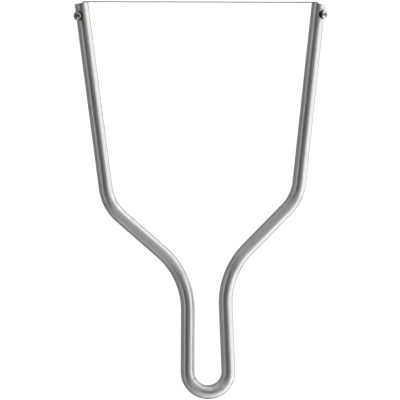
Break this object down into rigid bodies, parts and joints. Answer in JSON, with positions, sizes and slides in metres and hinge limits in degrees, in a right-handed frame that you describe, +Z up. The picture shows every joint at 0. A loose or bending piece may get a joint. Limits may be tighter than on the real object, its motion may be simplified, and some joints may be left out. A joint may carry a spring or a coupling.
{
  "type": "bow wire slicer",
  "caption": "Hand-held bow slicer: a bent steel tube with a looped grip and splayed arms, and a taut cutting wire clamped at the tips by cross-head screws.",
  "frame": {"origin": "middle of the lowest plane of the whole part, with the slicer lying flat on its back", "axes": "+Y from the grip loop to the cutting wire, +X across from the left arm to the right arm, +Z up, on the side where the screw heads stand out"},
  "size_m": [0.1828, 0.2854, 0.0124],
  "materials": {
    "polished_tube": "stainless steel tube, drawn, then polished round its length to a soft mirror",
    "turned_plug": "turned stainless steel",
    "drawn_wire": "hard drawn stainless steel wire",
    "crimped_sleeve": "copper alloy sleeve, crimped",
    "machined_screw": "cold headed stainless steel, barrel polished",
    "black_nylon": "moulded black nylon"
  },
  "bodies": {
    "frame": {"bow_tube": "polished_tube", "left_tip_plug": "turned_plug", "right_tip_plug": "turned_plug", "cutting_wire": "drawn_wire", "left_wire_ferrule": "crimped_sleeve", "right_wire_ferrule": "crimped_sleeve"},
    "left_washer": {"left_washer": "black_nylon"},
    "left_screw": {"left_clamp_screw": "machined_screw"},
    "right_washer": {"right_washer": "black_nylon"},
    "right_screw": {"right_clamp_screw": "machined_screw"}
  },
  "joints": [
    {"name": "left_screw_travel", "type": "slide", "parent": "frame", "child": "left_washer", "axis": [-0.6634, -0.0873, 0.7431], "range_m": [0, 0.0015]},
    {"name": "left_screw_turn", "type": "hinge", "parent": "left_washer", "child": "left_screw", "pos_m": [-0.08432, 0.13219, 0.005], "axis": [-0.6634, -0.0873, 0.7431], "range_deg": [0, 1080]},
    {"name": "right_screw_travel", "type": "slide", "parent": "frame", "child": "right_washer", "axis": [0.6652, -0.0723, 0.7431], "range_m": [0, 0.0015]},
    {"name": "right_screw_turn", "type": "hinge", "parent": "right_washer", "child": "right_screw", "pos_m": [0.08432, 0.1337, 0.005], "axis": [0.6652, -0.0723, 0.7431], "range_deg": [0, 1080]}
  ],
  "couplings": [
    {"joint": "left_screw_turn", "follows": "left_screw_travel", "rad_per_m": 12566},
    {"joint": "right_screw_turn", "follows": "right_screw_travel", "rad_per_m": 12566}
  ]
}
